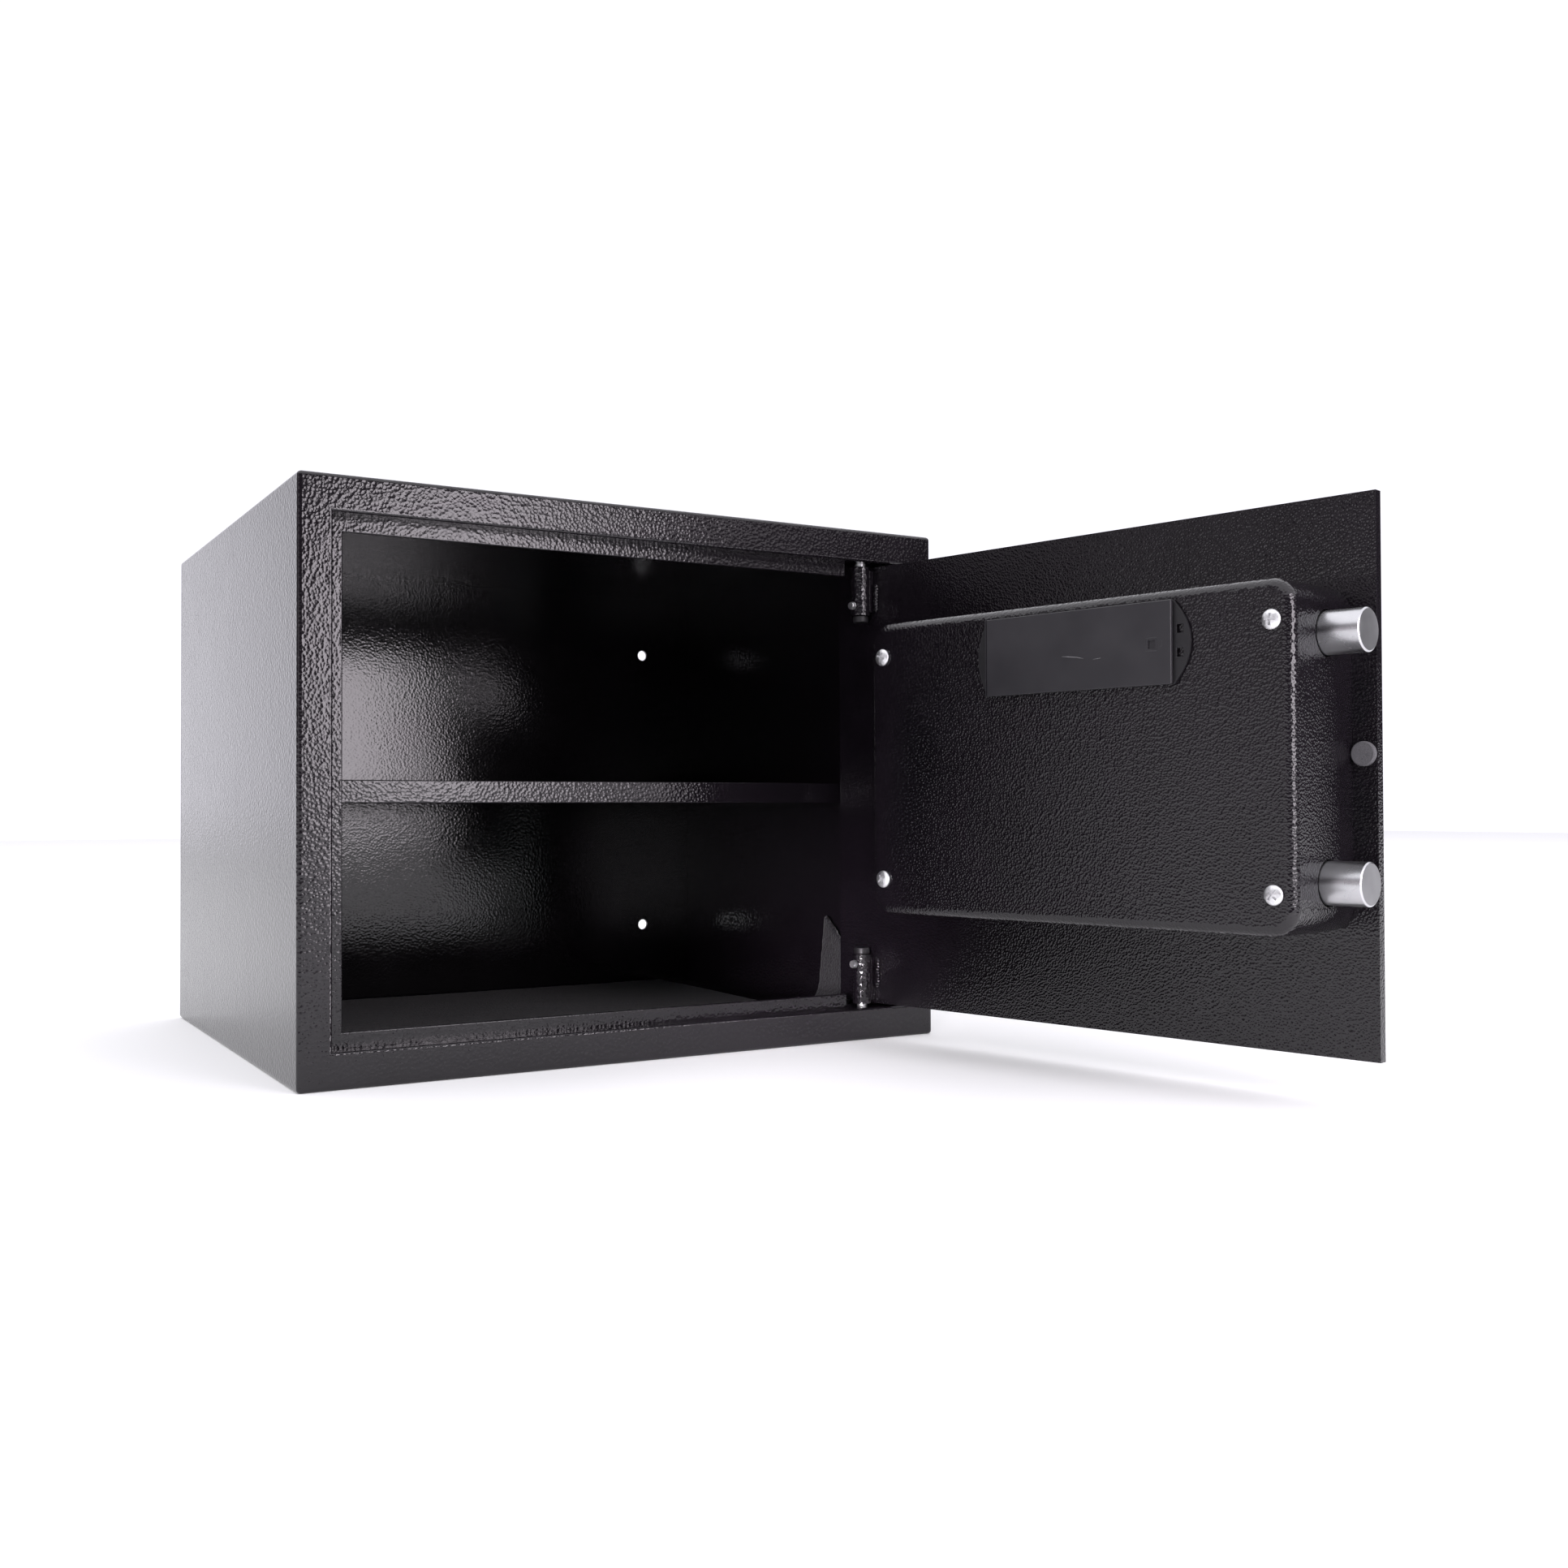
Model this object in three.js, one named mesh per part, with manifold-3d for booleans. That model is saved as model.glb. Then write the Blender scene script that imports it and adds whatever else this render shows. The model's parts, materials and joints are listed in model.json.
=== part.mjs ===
// Home safe with a hinged door, two live bolts, an electronic keypad and one shelf.
// Millimetres, +Z up. The origin is the centre of the cabinet's underside, the front faces -Y.
import * as THREE from "three";
import { mergeVertices } from "three/addons/utils/BufferGeometryUtils.js";
import Module from "manifold-3d";

const wasm = await Module();
wasm.setup();

// ---- driving dimensions ----
const WIDTH = 375;
const DEPTH = 320;
const HEIGHT = 300;
const SHEET = 2; // cabinet sheet thickness
const GAP = 0.3; // space kept between touching pieces
const BORDER_X = 17; // front border beside the opening
const BORDER_Z = 18.5; // front border above and below the opening
const REBATE = 12; // depth of the opening's turned-in walls
const LIP = 7.8; // width of the door stop beyond the opening's edge
const DOOR_GAP = 1.5;
const PLATE = 5; // door plate thickness
const DOOR_OPEN = 103.2; // degrees that the door stands open
const PIVOT_X = 144.7;
const PIVOT_DEPTH = 12;
const BARREL_R = 5.5;
const BARREL_LENGTH = 29;
const PIN_R = 3;
const COVER_X = [-157.1, 92.6]; // lock cover on the closed door
const COVER_Z = [78.5, 237];
const COVER_DEPTH = 60; // from the door's outer face
const COVER_SHEET = 1.5;
const BOLT_R = 10;
const BOLT_SPACING = 112;
const BOLT_DEPTH = 29;
const BOLT_TRAVEL = 17;
const BOLT_OUT = 19.5; // how far the thrown bolts stand out of the cover
const KNOB_TURN = 75; // degrees
const SHELF_FRONT = 65; // depth of the shelf's front edge
const SHELF_TOP = 152;
const SHELF_LIP = 12.5;

const LEFT = -WIDTH / 2;
const RIGHT = WIDTH / 2;
const FRONT = -DEPTH / 2;
const BACK = DEPTH / 2;
const DOOR_X = [LEFT + BORDER_X + DOOR_GAP, RIGHT - BORDER_X - DOOR_GAP];
const DOOR_Z = [BORDER_Z + DOOR_GAP, HEIGHT - BORDER_Z - DOOR_GAP];
const LOCK_Z = (COVER_Z[0] + COVER_Z[1]) / 2;

// ---- helpers: three.js shapes, joined and cut as solids ----
function solid(geometry) {
  const bare = geometry.clone();
  bare.deleteAttribute("normal");
  bare.deleteAttribute("uv");
  const merged = mergeVertices(bare, 1e-4);
  return new wasm.Manifold(
    new wasm.Mesh({
      numProp: 3,
      vertProperties: merged.attributes.position.array,
      triVerts: new Uint32Array(merged.index.array),
    }),
  );
}

function surface(made) {
  const mesh = made.getMesh();
  const geometry = new THREE.BufferGeometry();
  geometry.setAttribute("position", new THREE.BufferAttribute(new Float32Array(mesh.vertProperties), 3));
  geometry.setIndex(new THREE.BufferAttribute(new Uint32Array(mesh.triVerts), 1));
  geometry.computeVertexNormals();
  return geometry;
}

// A block between two limits along each axis.
function block(x, y, z) {
  const geometry = new THREE.BoxGeometry(x[1] - x[0], y[1] - y[0], z[1] - z[0]);
  geometry.translate((x[0] + x[1]) / 2, (y[0] + y[1]) / 2, (z[0] + z[1]) / 2);
  return solid(geometry);
}

// A round bar of radius r (or r to rEnd) along y at (x, z).
function barY(r, x, z, y, sides = 32, rEnd = r) {
  const geometry = new THREE.CylinderGeometry(rEnd, r, y[1] - y[0], sides);
  geometry.translate(x, (y[0] + y[1]) / 2, z);
  return solid(geometry);
}

function barX(r, y, z, x, sides = 32, rEnd = r) {
  const geometry = new THREE.CylinderGeometry(rEnd, r, x[1] - x[0], sides);
  geometry.rotateZ(-Math.PI / 2);
  geometry.translate((x[0] + x[1]) / 2, y, z);
  return solid(geometry);
}

function barZ(r, x, y, z, sides = 32, rEnd = r) {
  const geometry = new THREE.CylinderGeometry(rEnd, r, z[1] - z[0], sides);
  geometry.rotateX(Math.PI / 2);
  geometry.translate(x, y, (z[0] + z[1]) / 2);
  return solid(geometry);
}

function roundedRect(width, height, radius) {
  const shape = new THREE.Shape();
  const w = width / 2;
  const h = height / 2;
  shape.moveTo(w, -h + radius);
  shape.absarc(w - radius, h - radius, radius, 0, Math.PI / 2);
  shape.absarc(-w + radius, h - radius, radius, Math.PI / 2, Math.PI);
  shape.absarc(-w + radius, -h + radius, radius, Math.PI, Math.PI * 1.5);
  shape.absarc(w - radius, -h + radius, radius, Math.PI * 1.5, Math.PI * 2);
  return shape;
}

// A shape drawn in x and z, made thick along y.
function slab(shape, centre, y, curveSegments = 6) {
  const geometry = new THREE.ExtrudeGeometry(shape, {
    depth: y[1] - y[0],
    bevelEnabled: false,
    curveSegments,
  });
  geometry.rotateX(Math.PI / 2);
  geometry.translate(centre[0], y[1], centre[1]);
  return solid(geometry);
}

// A rounded tray-like body whose face at one end has rolled edges and whose other end is flat.
function domed(width, height, radius, roll, centre, y, faceAtHigh) {
  const long = y[1] - y[0];
  const geometry = new THREE.ExtrudeGeometry(roundedRect(width - 2 * roll, height - 2 * roll, radius - roll), {
    depth: long,
    bevelEnabled: true,
    bevelThickness: roll,
    bevelSize: roll,
    bevelSegments: 2,
    curveSegments: 4,
  });
  geometry.rotateX(Math.PI / 2);
  const shift = faceAtHigh ? y[1] - roll : y[1] + roll;
  geometry.translate(centre[0], shift, centre[1]);
  const away = faceAtHigh ? [y[0] - long - 50, y[0]] : [y[1], y[1] + long + 50];
  const cut = block([centre[0] - width, centre[0] + width], away, [centre[1] - height, centre[1] + height]);
  return solid(geometry).subtract(cut);
}

function deep(a, b) {
  return [FRONT + a, FRONT + b];
}

const safe = new THREE.Group();
const cabinet = new THREE.Group();
const hinge = new THREE.Group();
const door = new THREE.Group();
safe.add(cabinet, hinge);
hinge.add(door);
hinge.position.set(PIVOT_X, FRONT + PIVOT_DEPTH, 0);
hinge.rotation.z = THREE.MathUtils.degToRad(DOOR_OPEN);
door.position.set(-PIVOT_X, -FRONT - PIVOT_DEPTH, 0);

function add(group, name, made, color, roughness, metalness) {
  const material = new THREE.MeshStandardMaterial({ color, roughness, metalness });
  const mesh = new THREE.Mesh(surface(made), material);
  mesh.name = name;
  group.add(mesh);
}

const COAT = [0x1b191d, 0.4, 0.1];
const FRAME_COAT = [0x353239, 0.4, 0.1];
const STEEL = [0xb9b9be, 0.3, 1.0];
const ZINC = [0xcfcfd2, 0.25, 1.0];
const PLASTIC = [0x2c2a2e, 0.45, 0.0];

// ---- cabinet ----
const backOfShell = BACK - SHEET - GAP;
const open = {
  x: [LEFT + BORDER_X, RIGHT - BORDER_X],
  z: [BORDER_Z, HEIGHT - BORDER_Z],
};
const rebateEnd = PIVOT_X - 18; // the turned-in walls stop before the hinges
let shell = block([LEFT, RIGHT], [FRONT, backOfShell], [0, HEIGHT]);
shell = shell.subtract(
  block([LEFT + SHEET, RIGHT - SHEET], [FRONT + SHEET, BACK + 10], [SHEET, HEIGHT - SHEET]),
);
shell = shell.add(block([open.x[0] - SHEET, open.x[0]], deep(1, REBATE), [BORDER_Z - SHEET, HEIGHT - BORDER_Z + SHEET]));
for (const z of [
  [BORDER_Z - SHEET, BORDER_Z],
  [HEIGHT - BORDER_Z, HEIGHT - BORDER_Z + SHEET],
]) {
  shell = shell.add(block([open.x[0] - SHEET, rebateEnd], deep(1, REBATE), z));
}
shell = shell.subtract(block(open.x, deep(-1, REBATE + 1), open.z));
add(cabinet, "cabinet_shell", shell, ...FRAME_COAT);

const anchor = { x: WIDTH / 2 - 40.5, low: 47.5, high: 254, r: 3.8 };
let back = block([LEFT, RIGHT], [BACK - SHEET, BACK], [0, HEIGHT]);
for (const x of [-anchor.x, anchor.x]) {
  for (const z of [anchor.low, anchor.high]) {
    back = back.subtract(barY(anchor.r, x, z, [BACK - 10, BACK + 5], 20));
  }
}
add(cabinet, "back_panel", back, ...COAT);

const stopDepth = deep(REBATE + GAP, REBATE + GAP + SHEET);
const stopEnd = PIVOT_X - 10.5;
let stop = block([open.x[0] - 5, stopEnd], stopDepth, [BORDER_Z - 5, HEIGHT - BORDER_Z + 5]);
stop = stop.subtract(
  block([open.x[0] + LIP, RIGHT], [FRONT, FRONT + 30], [BORDER_Z + LIP, HEIGHT - BORDER_Z - LIP]),
);
add(cabinet, "door_stop_frame", stop, ...COAT);

for (const [name, z] of [
  ["pivot_lug_lower", [BORDER_Z - 3, BORDER_Z]],
  ["pivot_lug_upper", [HEIGHT - BORDER_Z, HEIGHT - BORDER_Z + 3]],
]) {
  let lug = block([rebateEnd + GAP, PIVOT_X + 13], deep(SHEET + GAP, PIVOT_DEPTH + 12), z);
  const notch = block([rebateEnd - 1, stopEnd + GAP], deep(REBATE, PIVOT_DEPTH + 20), [0, HEIGHT]);
  lug = lug.subtract(notch).subtract(barZ(PIN_R + GAP, PIVOT_X, FRONT + PIVOT_DEPTH, [z[0] - 1, z[1] + 1], 24));
  add(cabinet, name, lug, ...COAT);
}

const inner = { x: [LEFT + SHEET, RIGHT - SHEET], back: BACK - SHEET };
const shelfX = [inner.x[0] + 1, inner.x[1] - 1];
const shelfBack = inner.back - 1;
let shelf = block(shelfX, [FRONT + SHELF_FRONT, shelfBack], [SHELF_TOP - 1.5, SHELF_TOP]);
shelf = shelf.add(
  block(shelfX, deep(SHELF_FRONT, SHELF_FRONT + 1.5), [SHELF_TOP - SHELF_LIP, SHELF_TOP]),
);
add(cabinet, "shelf", shelf, ...COAT);

const restTop = SHELF_TOP - 1.5 - GAP;
for (const [name, wall, side] of [
  ["shelf_rest_left", inner.x[0] + GAP, 1],
  ["shelf_rest_right", inner.x[1] - GAP, -1],
]) {
  const y = [FRONT + SHELF_FRONT + 8, inner.back - 8];
  const ledge = [wall, wall + side * 12].sort((a, b) => a - b);
  const leg = [wall, wall + side * 1.5].sort((a, b) => a - b);
  const rest = block(ledge, y, [restTop - 1.5, restTop]).add(block(leg, y, [restTop - 10, restTop]));
  add(cabinet, name, rest, ...COAT);
}

// The felt mat lies on the floor; a tongue of it stands up against the right wall.
const mat = { thick: 3, curl: 22, tongue: [68, 106], tip: 66 };
const floor = SHEET + GAP;
const bend = [RIGHT - 33.5, floor + mat.curl];
const felt = block([inner.x[0] + 3, bend[0] + 6], [FRONT + 20, inner.back - 4], [floor, floor + mat.thick]);
const lean = new THREE.Shape();
lean.moveTo(bend[0] - 5, floor);
lean.lineTo(bend[0], floor);
lean.absarc(...bend, mat.curl, -Math.PI / 2, -0.1);
lean.lineTo(RIGHT - 7, mat.tip + 2);
lean.lineTo(RIGHT - 10, mat.tip + 2);
lean.absarc(...bend, mat.curl - mat.thick, -0.1, -Math.PI / 2, true);
lean.lineTo(bend[0] - 5, floor + mat.thick);
const slope = new THREE.Shape();
slope.moveTo(FRONT + mat.tongue[1] + 1, mat.tip + 0.7);
slope.lineTo(FRONT + mat.tongue[1] + 1, mat.tip + 60);
slope.lineTo(FRONT + mat.tongue[0] - 1, mat.tip + 60);
slope.lineTo(FRONT + mat.tongue[0] - 1, mat.tip - 0.7 * (mat.tongue[1] - mat.tongue[0]));
const wedge = new THREE.ExtrudeGeometry(slope, { depth: 80, bevelEnabled: false });
wedge.rotateX(Math.PI / 2);
wedge.rotateZ(Math.PI / 2);
wedge.translate(RIGHT - 60, 0, 0);
const tongue = slab(lean, [0, 0], deep(...mat.tongue), 8).subtract(solid(wedge));
add(cabinet, "floor_mat", felt.add(tongue), 0x2a292b, 1.0, 0.0);

// ---- door plate and hinges (drawn closed; the hinge group swings them open) ----
const knobAt = [37.5, LOCK_Z];
const keyAt = [37.5, LOCK_Z + 52];
let plate = block(DOOR_X, deep(0, PLATE), DOOR_Z);
plate = plate.subtract(barY(5.4, ...knobAt, deep(-1, PLATE + 1)));
plate = plate.subtract(barY(8.3, ...keyAt, deep(-1, PLATE + 1)));
add(door, "door_plate", plate, ...COAT);

for (const [tag, z, up] of [
  ["lower", DOOR_Z[0] + 0.2, -1],
  ["upper", DOOR_Z[1] - 0.2 - BARREL_LENGTH, 1],
]) {
  const top = z + BARREL_LENGTH;
  const axisY = FRONT + PIVOT_DEPTH;
  const innerEnd = up > 0 ? z : top;
  const screwZ = innerEnd + up * 5.5;
  let barrel = barZ(BARREL_R, PIVOT_X, axisY, [z, top]);
  barrel = barrel.add(block([PIVOT_X - 4.6, PIVOT_X + 4.6], deep(PLATE + GAP, PIVOT_DEPTH - 3.5), [z + 2, top - 2]));
  barrel = barrel.subtract(barZ(PIN_R + GAP, PIVOT_X, axisY, [z - 1, top + 1], 24));
  barrel = barrel.subtract(barY(1.7, PIVOT_X, screwZ, [axisY, axisY + 9], 16));
  add(door, `hinge_barrel_${tag}`, barrel, ...COAT);
  const pin = up > 0 ? [z + 2, HEIGHT - BORDER_Z + 6] : [BORDER_Z - 6, top - 2];
  add(door, `hinge_pin_${tag}`, barZ(PIN_R, PIVOT_X, axisY, pin, 24), ...ZINC);
  let screw = barY(1.4, PIVOT_X, screwZ, [axisY + PIN_R + GAP, axisY + BARREL_R + 0.8], 16);
  screw = screw.add(barY(2.5, PIVOT_X, screwZ, [axisY + BARREL_R + 0.5, axisY + BARREL_R + 3.2], 16, 2.1));
  add(door, `hinge_screw_${tag}`, screw, ...ZINC);
  const cap = up > 0 ? [z - 4, z - GAP] : [top + GAP, top + 4];
  add(door, `hinge_cap_${tag}`, barZ(4.6, PIVOT_X, axisY, cap, 24), ...PLASTIC);
}

add(door, "door_bumper", barY(5.7, LEFT + 24.4, 160, deep(PLATE + GAP, PLATE + 3), 28), 0x6a686c, 0.9, 0.0);

// ---- lock cover and what it is screwed to ----
const coverSize = [COVER_X[1] - COVER_X[0], COVER_Z[1] - COVER_Z[0]];
const coverMid = [(COVER_X[0] + COVER_X[1]) / 2, LOCK_Z];
const trayAt = [LEFT + 142.8, 212.1];
const trayHole = [108, 35];
const boltZ = [LOCK_Z - BOLT_SPACING / 2, LOCK_Z + BOLT_SPACING / 2];
const screwX = [LEFT + 40.3, LEFT + 270.4];
const screwZ = [97.3, 218.2];
let cover = domed(...coverSize, 12, 5, coverMid, deep(PLATE + GAP, COVER_DEPTH), true);
cover = cover.subtract(
  domed(coverSize[0] - 3, coverSize[1] - 3, 10.5, 3.5, coverMid, deep(0, COVER_DEPTH - COVER_SHEET), true),
);
cover = cover.subtract(slab(roundedRect(...trayHole, 3), trayAt, deep(40, COVER_DEPTH + 5)));
for (const z of boltZ) {
  cover = cover.subtract(barX(BOLT_R + 0.6, FRONT + BOLT_DEPTH, z, [COVER_X[0] - 5, COVER_X[0] + 8], 40));
}
for (const x of screwX) {
  for (const z of screwZ) {
    cover = cover.subtract(barY(2.3, x, z, deep(40, COVER_DEPTH + 5), 16));
  }
}
add(door, "lock_cover", cover, ...COAT);

const strapFace = COVER_DEPTH - COVER_SHEET - GAP;
for (const [name, x] of [
  ["cover_bracket_left", screwX[0]],
  ["cover_bracket_right", screwX[1]],
]) {
  const wide = [x - 4.8, x + 4.8];
  let strap = block(wide, deep(PLATE + GAP, strapFace), [COVER_Z[0] + 9, COVER_Z[1] - 9]);
  strap = strap.subtract(block([x - 9, x + 9], deep(0, strapFace - 2), [COVER_Z[0] + 11, COVER_Z[1] - 11]));
  for (const z of screwZ) {
    strap = strap.subtract(barY(2.3, x, z, deep(40, COVER_DEPTH), 16));
  }
  add(door, name, strap, 0x77787c, 0.5, 0.9);
}

let screwNumber = 0;
for (const x of screwX) {
  for (const z of screwZ) {
    screwNumber += 1;
    let screw = barY(2, x, z, deep(COVER_DEPTH - 9, COVER_DEPTH + 1), 16);
    screw = screw.add(barY(4.6, x, z, deep(COVER_DEPTH + GAP, COVER_DEPTH + 1.3), 24));
    screw = screw.add(barY(4.6, x, z, deep(COVER_DEPTH + 1.3, COVER_DEPTH + 2.6), 24, 3));
    for (const slot of [
      [2.4, 0.45],
      [0.45, 2.4],
    ]) {
      const cross = block([x - slot[0], x + slot[0]], deep(COVER_DEPTH + 1.2, COVER_DEPTH + 5), [z - slot[1], z + slot[1]]);
      screw = screw.subtract(cross);
    }
    add(door, `cover_screw_${screwNumber}`, screw, ...ZINC);
  }
}

// ---- battery tray, cells and lid ----
const lid = { size: [108.4, 39], thick: 2 };
const rim = new THREE.Shape();
const bulge = { free: 9, hinge: 6 };
rim.moveTo(-lid.size[0] / 2, lid.size[1] / 2);
rim.quadraticCurveTo(-lid.size[0] / 2 - 2 * bulge.free, 0, -lid.size[0] / 2, -lid.size[1] / 2);
rim.lineTo(lid.size[0] / 2, -lid.size[1] / 2);
rim.quadraticCurveTo(lid.size[0] / 2 + 2 * bulge.hinge, 0, lid.size[0] / 2, lid.size[1] / 2);
rim.closePath();
const rimDepth = [COVER_DEPTH + GAP, COVER_DEPTH + 1.6];
let tray = slab(rim, trayAt, deep(...rimDepth), 8);
tray = tray.add(slab(roundedRect(trayHole[0] - 0.8, trayHole[1] - 0.8, 2.6), trayAt, deep(40, rimDepth[1])));
tray = tray.subtract(slab(roundedRect(103.6, 30.8, 2), trayAt, deep(41.6, rimDepth[1] + 5)));
for (const z of [trayAt[1] - 5, trayAt[1] + 6]) {
  const x = LEFT + 85.2;
  tray = tray.subtract(block([x - 1.8, x + 1.8], deep(COVER_DEPTH, rimDepth[1] + 5), [z - 2, z + 2]));
}
add(door, "battery_tray", tray, ...PLASTIC);

let cellNumber = 0;
for (const x of [trayAt[0] - 25.8, trayAt[0] + 25.8]) {
  for (const z of [trayAt[1] - 7.6, trayAt[1] + 7.6]) {
    cellNumber += 1;
    let cell = barX(7.2, FRONT + 49.4, z, [x - 25.2, x + 24], 24);
    cell = cell.add(barX(2.6, FRONT + 49.4, z, [x + 23, x + 25.3], 16));
    add(door, `battery_${cellNumber}`, cell, 0x8d5a26, 0.35, 0.6);
  }
}

const lidDepth = [rimDepth[1] + GAP, rimDepth[1] + GAP + lid.thick];
let cap = slab(roundedRect(...lid.size, 0.8), trayAt, deep(...lidDepth), 3);
const mark = [LEFT + 98.8, 211.6];
const square = block([mark[0] - 1.9, mark[0] + 1.9], deep(lidDepth[1] - 0.8, lidDepth[1] + 2), [mark[1] - 1.9, mark[1] + 1.9]);
cap = cap.subtract(square);
add(door, "battery_cover", cap, 0x39363b, 0.35, 0.0);

// ---- bolts, bolt bar and its guide ----
const boltTip = COVER_X[0] - BOLT_OUT;
const barAt = [boltTip + 55, boltTip + 61];
for (const [name, z] of [
  ["bolt_lower", boltZ[0]],
  ["bolt_upper", boltZ[1]],
]) {
  let bolt = barX(BOLT_R, FRONT + BOLT_DEPTH, z, [boltTip + 1, barAt[0] - GAP], 40);
  bolt = bolt.add(barX(BOLT_R - 1, FRONT + BOLT_DEPTH, z, [boltTip, boltTip + 1.001], 40, BOLT_R));
  add(door, name, bolt, ...STEEL);
}

const armDepth = deep(22, 28);
const armZ = [LOCK_Z - 8, LOCK_Z + 8];
const slotX = knobAt[0] - BOLT_TRAVEL / 2;
const crank = BOLT_TRAVEL / 2 / Math.sin(THREE.MathUtils.degToRad(KNOB_TURN / 2));
const crankUp = Math.sqrt(crank * crank - (BOLT_TRAVEL * BOLT_TRAVEL) / 4);
let bar = block(barAt, deep(19, 39), [boltZ[0] - 9, boltZ[1] + 9]);
bar = bar.add(block([barAt[0] + 1, slotX - 5], armDepth, armZ));
bar = bar.add(block([slotX - 9, slotX + 9], armDepth, [LOCK_Z - 8, LOCK_Z + 22]));
bar = bar.subtract(block([slotX - 3.7, slotX + 3.7], deep(10, 40), [LOCK_Z + crankUp - 4, LOCK_Z + crank + 4]));
const plungerX = -5;
// One notch holds the bolts thrown and the other holds them drawn back.
for (const x of [plungerX, plungerX - BOLT_TRAVEL]) {
  bar = bar.subtract(block([x - 4, x + 4], deep(10, 40), [armZ[0] - 1, armZ[0] + 6]));
}
add(door, "bolt_bar", bar, 0x8a8b90, 0.45, 0.9);

let guide = block([-70, -55], deep(PLATE + GAP, 33), [armZ[0] - 4, armZ[1] + 4]);
guide = guide.subtract(block([-72, -53], deep(21.6, 28.4), [armZ[0] - 0.5, armZ[1] + 0.5]));
guide = guide.subtract(block([-72, -53], deep(0, 18), [armZ[0] - 0.5, armZ[1] + 0.5]));
add(door, "bolt_guide", guide, 0x77787c, 0.5, 0.9);

// ---- solenoid that blocks the bolt bar ----
const coilZ = [LOCK_Z - 50, LOCK_Z - 22];
let coil = block([plungerX - 11, plungerX + 11], deep(PLATE + GAP, 35), coilZ);
coil = coil.subtract(barZ(PIN_R + 0.5, plungerX, FRONT + 25, [coilZ[0] + 4, coilZ[1] + 2], 24));
add(door, "solenoid_body", coil, 0x4a4b50, 0.5, 0.6);
add(
  door,
  "solenoid_plunger",
  barZ(PIN_R, plungerX, FRONT + 25, [coilZ[0] + 4.5, armZ[0] - 3], 24),
  ...STEEL,
);

// ---- circuit board on four spacers ----
let board = block([-102, -34], deep(10, 11.6), [LOCK_Z - 62, LOCK_Z - 20]);
for (const x of [-98, -38]) {
  for (const z of [LOCK_Z - 58, LOCK_Z - 24]) {
    board = board.add(barY(2.5, x, z, deep(PLATE + GAP, 10.5), 12));
  }
}
board = board.add(block([-80, -62], deep(11, 14), [LOCK_Z - 50, LOCK_Z - 36]));
add(door, "circuit_board", board, 0x1f5a36, 0.5, 0.1);

// ---- outside of the door: keypad, knob, override lock ----
const pad = { at: [-62, LOCK_Z + 6], size: [82, 108], thick: 12 };
let housing = domed(...pad.size, 10, 3, pad.at, deep(-pad.thick, -GAP), false);
const keyRows = [
  ["key_1", "key_2", "key_3"],
  ["key_4", "key_5", "key_6"],
  ["key_7", "key_8", "key_9"],
  ["key_star", "key_0", "key_hash"],
];
const keySize = [17, 14];
const pitch = [22.5, 19.5];
const keyFrom = [pad.at[0] - pitch[0], pad.at[1] + pitch[1] * 1.5 - 8];
const keys = [];
keyRows.forEach((row, i) => {
  row.forEach((name, j) => {
    const at = [keyFrom[0] + j * pitch[0], keyFrom[1] - i * pitch[1]];
    const well = slab(roundedRect(keySize[0] + 0.8, keySize[1] + 0.8, 2.4), at, deep(-pad.thick - 2, -3), 2);
    housing = housing.subtract(well);
    keys.push([name, slab(roundedRect(...keySize, 2), at, deep(-pad.thick - 2, -5.5), 2)]);
  });
});
housing = housing.subtract(slab(roundedRect(40, 9, 2), [pad.at[0], pad.at[1] + 44], deep(-pad.thick - 1, -10.8), 3));
add(door, "keypad_housing", housing, ...PLASTIC);
for (const [name, key] of keys) {
  add(door, name, key, 0x9a9a9c, 0.6, 0.0);
}

let knob = barY(21, ...knobAt, deep(-9, -1), 40, 23).add(barY(16.5, ...knobAt, deep(-28, -8.5), 40, 19));
const fingers = 8;
for (let i = 0; i < fingers; i += 1) {
  const angle = ((i + 0.5) / fingers) * Math.PI * 2;
  knob = knob.subtract(barY(4, knobAt[0] + 21 * Math.cos(angle), knobAt[1] + 21 * Math.sin(angle), deep(-30, -9.5), 20));
}
knob = knob.subtract(barY(5.3, ...knobAt, deep(-16, 0), 24));
add(door, "knob", knob, 0x232225, 0.35, 0.1);

let spindle = barY(5, ...knobAt, deep(-15.5, 17), 24);
spindle = spindle.add(barY(20, ...knobAt, deep(15, 19), 40));
spindle = spindle.add(barY(PIN_R, knobAt[0] - BOLT_TRAVEL / 2, LOCK_Z + crankUp, deep(18, 31), 24));
add(door, "knob_spindle", spindle, ...STEEL);

let cylinder = barY(8, ...keyAt, deep(-4, 24)).add(barY(11, ...keyAt, deep(-4, -GAP)));
cylinder = cylinder.subtract(barY(5.4, ...keyAt, deep(-6, 18)));
add(door, "key_cylinder", cylinder, ...STEEL);
let plug = barY(5.1, ...keyAt, deep(-4, 17));
plug = plug.subtract(block([keyAt[0] - 0.9, keyAt[0] + 0.9], deep(-6, 10), [keyAt[1] - 3.6, keyAt[1] + 3.6]));
add(door, "key_plug", plug, 0xb08d4a, 0.35, 1.0);
let hood = barY(14, ...keyAt, deep(-8, -GAP - 0.2), 36, 15);
hood = hood.subtract(barY(11.5, ...keyAt, deep(-5.5, 2), 32));
add(door, "override_cap", hood, ...PLASTIC);

export default safe;
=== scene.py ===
"""Wall safe with its door open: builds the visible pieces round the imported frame, in metres."""

import json
import math
import random

import bmesh
import bpy
from mathutils import Matrix, Vector, noise


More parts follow.
